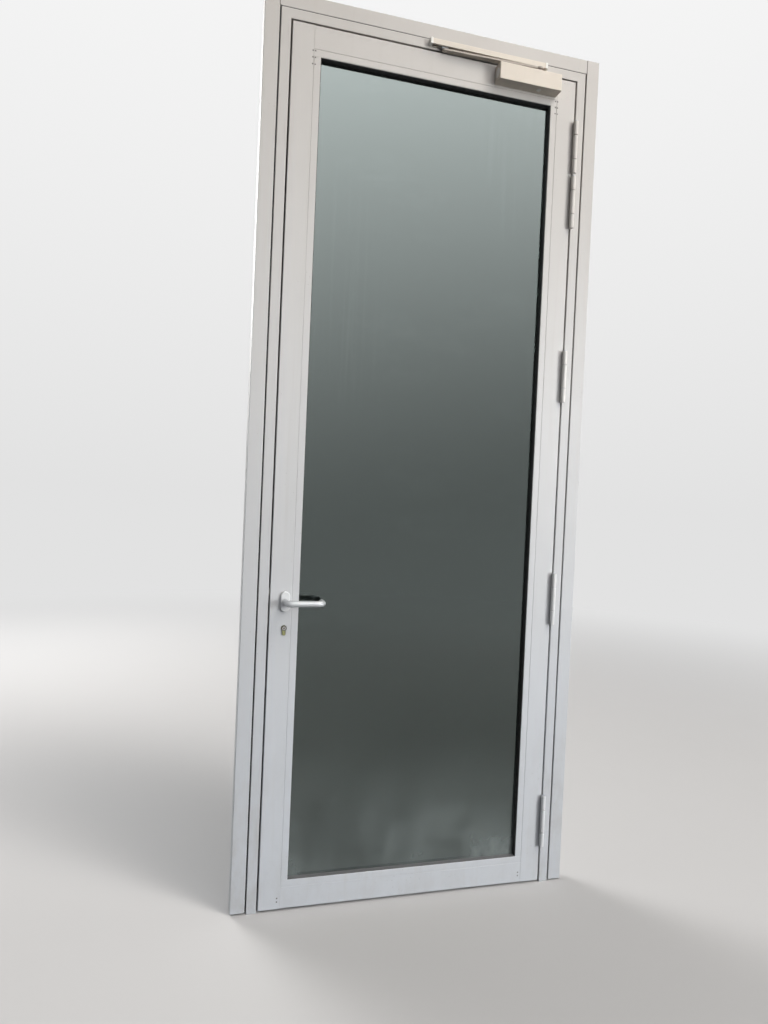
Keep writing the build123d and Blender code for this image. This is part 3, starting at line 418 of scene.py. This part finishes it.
def glazing(name, colour, ior, haze_share):
    """Glass with settled dust at the foot, drip streaks, dried drops and wiping marks."""
    paint = Paint(name)
    low = paint.span(paint.along(UP), *GLASS_HAZE_HEIGHTS, low=1, high=0)
    clouds = paint.noise(scale=3.2, detail=5, stretch=(1, 1, 0.7), roughness=0.62)
    clouds = paint.span(clouds, 0.3, 0.7, low=0.35)
    haze = paint.times(low, clouds, haze_share)
    drips = paint.span(paint.noise(scale=52, detail=3, stretch=(1, 1, 0.02)), 0.5, 0.8)
    areas = paint.span(paint.noise(scale=2.1, detail=2, stretch=(1, 1, 0.5), shift=5.1), 0.45, 0.66)
    streaks = paint.times(drips, areas, STREAK_SHARE)
    drops = paint.span(paint.cells(scale=24, stretch=(1, 1, 0.6)), 0.03, 0.1, low=1, high=0)
    few = paint.span(paint.noise(scale=3.4, detail=2, shift=2.6), 0.52, 0.66, high=DROP_SHARE)
    drops = paint.times(drops, few)
    wipes = paint.noise(scale=4, detail=6, stretch=(0.5, 1, 1.4), roughness=0.7, shift=8.3)
    wipes = paint.span(wipes, 0.5, 0.8, high=WIPE_SHARE)
    marks = paint.combine("ADD", haze, drops)
    film = paint.combine("ADD", marks, paint.combine("ADD", streaks, wipes))
    clear = paint.combine("SUBTRACT", 1.0, film)
    gloss = paint.span(clouds, 0.3, 1, 0.008, 0.03)
    tone = paint.mix(film, colour, GLASS_DUST)
    paint.set(base_color=tone, roughness=gloss, transmission_weight=clear, ior=ior)
    paint.set(specular_tint=GLASS_MIRROR_TINT)
    return paint.material


def pin_places():
    """The (x, z) places of the corner pins, read from their own mesh."""
    places = []
    for vertex in nodes["corner_pins"].data.vertices:
        x, z = vertex.co.x, vertex.co.z
        if all(math.hypot(x - a, z - b) > PIN_REACH for a, b in places):
            places.append((x, z))
    return [centre_of_pin(x, z) for x, z in places]


def centre_of_pin(x, z):
    """The middle of the pin that a point belongs to."""
    spots = [vertex.co for vertex in nodes["corner_pins"].data.vertices]
    own = [spot for spot in spots if math.hypot(spot.x - x, spot.z - z) < PIN_REACH]
    return (sum(spot.x for spot in own) / len(own), sum(spot.z for spot in own) / len(own))


def smooth(mesh):
    """Shades all the faces of a mesh as one rounded surface."""
    for face in mesh.polygons:
        face.use_smooth = True


handle_low, handle_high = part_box("handle_spindle")
handle_at = (handle_low + handle_high) / 2
_, plug_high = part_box("cylinder_plug")
plug_at = (handle_at.x, plug_high.z - CAM_DISC_RADIUS)
brass_dark_ring = (*plug_at, BRASS_DARK_RING_RADIUS)

head_low, head_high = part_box("outer_head")
frame_joints = (head_high.x, head_low.z)

# Brushed grain along an axis, from long lines to the shortest, and the same each way
ALONG_X, ALONG_X_SHORT = (0.05, 1, 1), (0.2, 1, 1)
ALONG_Z, ALONG_Z_SHORT, ALONG_Z_SHORTEST = (1, 1, 0.04), (1, 1, 0.1), (1, 1, 0.2)
NO_GRAIN = (1, 1, 1)

materials = {
    "frame_lacquer": lacquer("frame_lacquer", (0.66, 0.66, 0.66), foot_dust=0.3, joints=frame_joints),
    "leaf_lacquer": lacquer("leaf_lacquer", (0.70, 0.70, 0.70), foot_dust=0.14, pins=pin_places()),
    "hinge_lacquer": lacquer("hinge_lacquer", (0.78, 0.77, 0.75), foot_dust=0.15),
    "closer_lacquer": lacquer("closer_lacquer", (0.76, 0.69, 0.60), overhang_shade=0.2),
    "rail_lacquer": lacquer("rail_lacquer", (0.76, 0.70, 0.61), overhang_shade=0.25),
    # The arm's darker lacquer is painted shade, as under the rail and closer
    "arm_shaded_lacquer": lacquer("arm_shaded_lacquer", (0.40, 0.36, 0.32), overhang_shade=0.4),
    "cap_plastic": moulded("cap_plastic", (0.80, 0.78, 0.73)),
    "black_rubber": moulded("black_rubber", (0.012, 0.012, 0.012), dust=0.12, ledge_dust=0.45),
    "glass": glazing("glass", (0.028, 0.036, 0.034), ior=1.9, haze_share=0.68),
    "inner_glass": glazing("inner_glass", (0.66, 0.74, 0.71), ior=1.52, haze_share=0.12),
    "spacer_metal": brushed("spacer_metal", (0.34, 0.34, 0.33), ALONG_Z_SHORT, roughness=0.45),
    "handle_metal": brushed("handle_metal", (0.58, 0.60, 0.61), ALONG_X, roughness=0.46,
                            metallic=0.45, stain=0.04),
    "rosette_lacquer": lacquer("rosette_lacquer", (0.80, 0.80, 0.79), foot_dust=0),
    "cylinder_nickel": turned("cylinder_nickel", (0.52, 0.51, 0.49), plug_at, roughness=0.34),
    "cylinder_brass": brushed("cylinder_brass", (0.36, 0.36, 0.16), NO_GRAIN, roughness=0.45,
                              metallic=0.3, stain=0.35, dark_ring=brass_dark_ring),
    "zinc_steel": brushed("zinc_steel", (0.55, 0.56, 0.58), ALONG_Z_SHORTEST, roughness=0.34),
    "pin_steel": brushed("pin_steel", (0.035, 0.032, 0.03), NO_GRAIN, roughness=0.6,
                         metallic=0.0, stain=0.4),
    "bright_steel": brushed("bright_steel", (0.66, 0.66, 0.65), ALONG_Z, roughness=0.28),
    "machined_steel": brushed("machined_steel", (0.45, 0.45, 0.45), ALONG_X_SHORT),
    "grey_plastic": moulded("grey_plastic", (0.30, 0.31, 0.32)),
}

# The outer pane is the dark coated one, the inner pane is plain glass, and the arm's lacquer is darker, as
# painted shade under the rail
own_finish = {"inner_pane": "inner_glass", "closer_arm": "arm_shaded_lacquer"}

for part in frame["record"]["subparts"]:
    mesh = nodes[part["node"]].data
    mesh.materials.clear()
    mesh.materials.append(materials[own_finish.get(part["node"], part["material_slot"])])
    smooth(mesh)
    mesh.set_sharp_from_angle(angle=SHARP_ANGLE)


def coil_points(low, high):
    """A compression spring's line along X: even turns, with a closed turn at each end."""
    middle = (low + high) / 2
    radius = (high.z - low.z) / 2 - SPRING_WIRE
    start, end = low.x + SPRING_WIRE, high.x - SPRING_WIRE
    open_turns = SPRING_TURNS - 2
    pitch = (end - start - 2 * CLOSED_TURN_PITCH) / open_turns
    points = []
    for i in range(SPRING_TURNS * SPRING_POINTS_PER_TURN + 1):
        turn = i / SPRING_POINTS_PER_TURN
        x = start + CLOSED_TURN_PITCH * min(turn, 1) + pitch * min(max(turn - 1, 0), open_turns)
        x += CLOSED_TURN_PITCH * max(turn - SPRING_TURNS + 1, 0)
        angle = turn * math.tau
        points.append((x, middle.y + radius * math.sin(angle), middle.z + radius * math.cos(angle), 1))
    return points


def wire_mesh(points):
    """A round wire's mesh along a line of points."""
    curve = bpy.data.curves.new("closer_coil", "CURVE")
    curve.dimensions = "3D"
    curve.bevel_depth = SPRING_WIRE
    curve.bevel_resolution = SPRING_WIRE_ROUNDNESS
    curve.use_fill_caps = True
    spline = curve.splines.new("POLY")
    spline.points.add(len(points) - 1)
    for point, place in zip(spline.points, points):
        point.co = place
    holder = bpy.data.objects.new("closer_coil_line", curve)
    scene.collection.objects.link(holder)
    mesh = bpy.data.meshes.new_from_object(holder.evaluated_get(bpy.context.evaluated_depsgraph_get()))
    bpy.data.objects.remove(holder)
    return mesh


def make_closer_coil():
    """The closer's coil spring, drawn once at its rest length and carried with the leaf."""
    low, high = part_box("closer_spring")
    mesh = wire_mesh(coil_points(low, high))
    smooth(mesh)
    mesh.materials.clear()
    mesh.materials.append(materials["bright_steel"])
    coil = bpy.data.objects.new("closer_coil", mesh)
    scene.collection.objects.link(coil)
    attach(coil, "leaf")
    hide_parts("closer_spring")
    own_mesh(coil)


def seen_share(tree):
    """One for the rays that carry the picture: camera, gloss and glass. Zero for the light that bounces."""
    path = tree.nodes.new("ShaderNodeLightPath")
    total = path.outputs["Is Camera Ray"]
    for ray in ("Is Glossy Ray", "Is Transmission Ray"):
        node = tree.nodes.new("ShaderNodeMath")
        node.operation = "MAXIMUM"
        tree.links.new(total, node.inputs[0])
        tree.links.new(path.outputs[ray], node.inputs[1])
        total = node.outputs[0]
    return total


def blend_shaders(tree, share, first, second, output):
    """Shows the first shader where the share is zero and the second where it is one."""
    both = tree.nodes.new("ShaderNodeMixShader")
    tree.links.new(share, both.inputs["Fac"])
    tree.links.new(first, both.inputs[1])
    tree.links.new(second, both.inputs[2])
    tree.links.new(both.outputs[0], output.inputs["Surface"])


def floor_material():
    """A pale floor that keeps the object's shadow near it and fades into the background further out."""
    paint = Paint("floor_pale")
    tree = paint.tree
    seen = seen_share(tree)
    tone = paint.mix(paint.noise(scale=3, detail=3), shade(FLOOR_SEEN, 0.985), FLOOR_SEEN)
    paint.set(base_color=paint.mix(seen, FLOOR_BOUNCE, tone), roughness=0.8, specular_ior_level=0.0)
    glow = tree.nodes.new("ShaderNodeEmission")
    glow.inputs["Color"].default_value = (*BACKGROUND, 1)
    distance = tree.nodes.new("ShaderNodeVectorMath")
    distance.operation = "LENGTH"
    tree.links.new(paint.place, distance.inputs[0])
    far = paint.times(seen, paint.span(distance.outputs["Value"], *FLOOR_FADE))
    blend_shaders(tree, far, paint.shader.outputs["BSDF"], glow.outputs[0], paint.output)
    return paint.material


def make_floor():
    """A wide floor, just under the door's foot."""
    mesh = bpy.data.meshes.new("floor")
    corners = [(x * FLOOR_REACH, y * FLOOR_REACH, 0) for x, y in ((-1, -1), (1, -1), (1, 1), (-1, 1))]
    mesh.from_pydata(corners, [], [(0, 1, 2, 3)])
    floor = bpy.data.objects.new("floor", mesh)
    floor.location.z = -FLOOR_DEPTH
    mesh.materials.append(floor_material())
    scene.collection.objects.link(floor)


def area_lamp(name, place, aim, size, power, colour, roll=0.0):
    """A rectangular lamp that faces a point, rolled about its own axis by some degrees."""
    lamp = bpy.data.lights.new(name, "AREA")
    lamp.shape = "RECTANGLE"
    lamp.size, lamp.size_y = size
    lamp.energy = power
    lamp.color = colour
    holder = bpy.data.objects.new(name, lamp)
    holder.location = place
    holder.rotation_mode = "QUATERNION"
    facing = (Vector(aim) - Vector(place)).to_track_quat("-Z", "Y")
    holder.rotation_quaternion = facing @ Quaternion((0, 0, 1), math.radians(roll))
    scene.collection.objects.link(holder)
    return lamp


def lamp_nodes(lamp):
    """A lamp's node tree, its emission node and the place on its face, from 0 to 1 each way."""
    lamp.use_nodes = True
    tree = lamp.node_tree
    emission = next(node for node in tree.nodes if node.type == "EMISSION")
    return tree, emission, tree.nodes.new("ShaderNodeNewGeometry").outputs["Parametric"]


def fade_lamp(lamp, power):
    """Makes a lamp fade smoothly towards its lower edge, as the sky does in glass."""
    tree, emission, place = lamp_nodes(lamp)
    split = tree.nodes.new("ShaderNodeSeparateXYZ")
    tree.links.new(place, split.inputs[0])
    rise = tree.nodes.new("ShaderNodeMath")
    rise.operation = "POWER"
    tree.links.new(split.outputs["Y"], rise.inputs[0])
    rise.inputs[1].default_value = power
    tree.links.new(rise.outputs[0], emission.inputs["Strength"])


def soften_lamp(lamp):
    """Makes a lamp fade smoothly from its middle to its rim, so that its mirror image has no hard edge."""
    tree, emission, place = lamp_nodes(lamp)
    away = tree.nodes.new("ShaderNodeVectorMath")
    away.operation = "DISTANCE"
    tree.links.new(place, away.inputs[0])
    away.inputs[1].default_value = LAMP_FACE_MIDDLE
    fall = ease(tree, away.outputs["Value"], *LAMP_FADE, low=1, high=0)
    tree.links.new(fall, emission.inputs["Strength"])


def make_lamps():
    """A warm key from high up, a fading window, and soft fills from the side and from behind."""
    key = area_lamp("key", place=(5.5, -6.0, 12.5), aim=(0, 0, 1.5), size=(8.0, 8.0), power=2600,
                    colour=(1.0, 0.93, 0.86))
    window = area_lamp("window", place=(5.5, -9.0, 5.9), aim=(5.1, 0, 5.3), size=(11.5, 8.6), power=1450,
                       colour=(0.99, 0.99, 1.0), roll=12)
    side_fill = area_lamp("side_fill", place=(9.0, -9.0, 2.6), aim=(0, 0, 1.5), size=(6.0, 5.2), power=2890,
                          colour=(0.97, 0.99, 1.0))
    back_fill = area_lamp("back_fill", place=(-3.6, 5.4, 4.4), aim=(0, 0, 1.3), size=(6.0, 6.0), power=1350,
                          colour=(1.0, 0.99, 0.98))
    fade_lamp(window, WINDOW_FADE_POWER)
    for lamp in (key, side_fill, back_fill):
        soften_lamp(lamp)


def make_world():
    """A soft even world. The camera, gloss and glass see a pale background."""
    world = bpy.data.worlds.new("studio")
    scene.world = world
    world.use_nodes = True
    tree = world.node_tree
    tree.nodes.clear()
    lit = tree.nodes.new("ShaderNodeBackground")
    lit.inputs["Color"].default_value = (*WORLD_LIGHT, 1)
    lit.inputs["Strength"].default_value = WORLD_STRENGTH
    shown = tree.nodes.new("ShaderNodeBackground")
    direction = tree.nodes.new("ShaderNodeSeparateXYZ")
    tree.links.new(tree.nodes.new("ShaderNodeTexCoord").outputs["Generated"], direction.inputs[0])
    rise = tree.nodes.new("ShaderNodeMapRange")
    rise.inputs["From Max"].default_value = HIGH_BACKGROUND_RISE
    tree.links.new(direction.outputs["Z"], rise.inputs["Value"])
    tone = tree.nodes.new("ShaderNodeMix")
    tone.data_type = "RGBA"
    tree.links.new(rise.outputs["Result"], tone.inputs["Factor"])
    tone.inputs[MIX_FIRST].default_value = (*BACKGROUND, 1)
    tone.inputs[MIX_SECOND].default_value = (*BACKGROUND_HIGH, 1)
    tree.links.new(tone.outputs[MIX_RESULT], shown.inputs["Color"])
    output = tree.nodes.new("ShaderNodeOutputWorld")
    blend_shaders(tree, seen_share(tree), lit.outputs[0], shown.outputs[0], output)


def make_camera():
    """The photograph's viewpoint: turned right, tilted down a little and rolled."""
    camera = bpy.data.cameras.new("photo_view")
    camera.sensor_fit = "AUTO"
    camera.sensor_width = SENSOR_WIDTH
    camera.lens = SENSOR_WIDTH * FOCAL_PIXELS / PICTURE_HEIGHT
    camera.clip_start = CLIP_START
    holder = bpy.data.objects.new("photo_view", camera)
    yaw, pitch, roll = (math.radians(angle) for angle in CAMERA_YAW_PITCH_ROLL)
    turn = Matrix.Rotation(yaw, 3, "Z") @ Matrix.Rotation(pitch, 3, "X") @ Matrix.Rotation(roll, 3, "Y")
    right, ahead, up = (turn.col[i].copy() for i in range(3))
    holder.rotation_mode = "QUATERNION"
    holder.rotation_quaternion = Matrix((right, up, -ahead)).transposed().to_quaternion()
    holder.location = CAMERA_PLACE
    scene.collection.objects.link(holder)
    scene.camera = holder


make_closer_coil()
make_floor()
make_lamps()
make_world()
make_camera()
scene.view_settings.view_transform = "Standard"
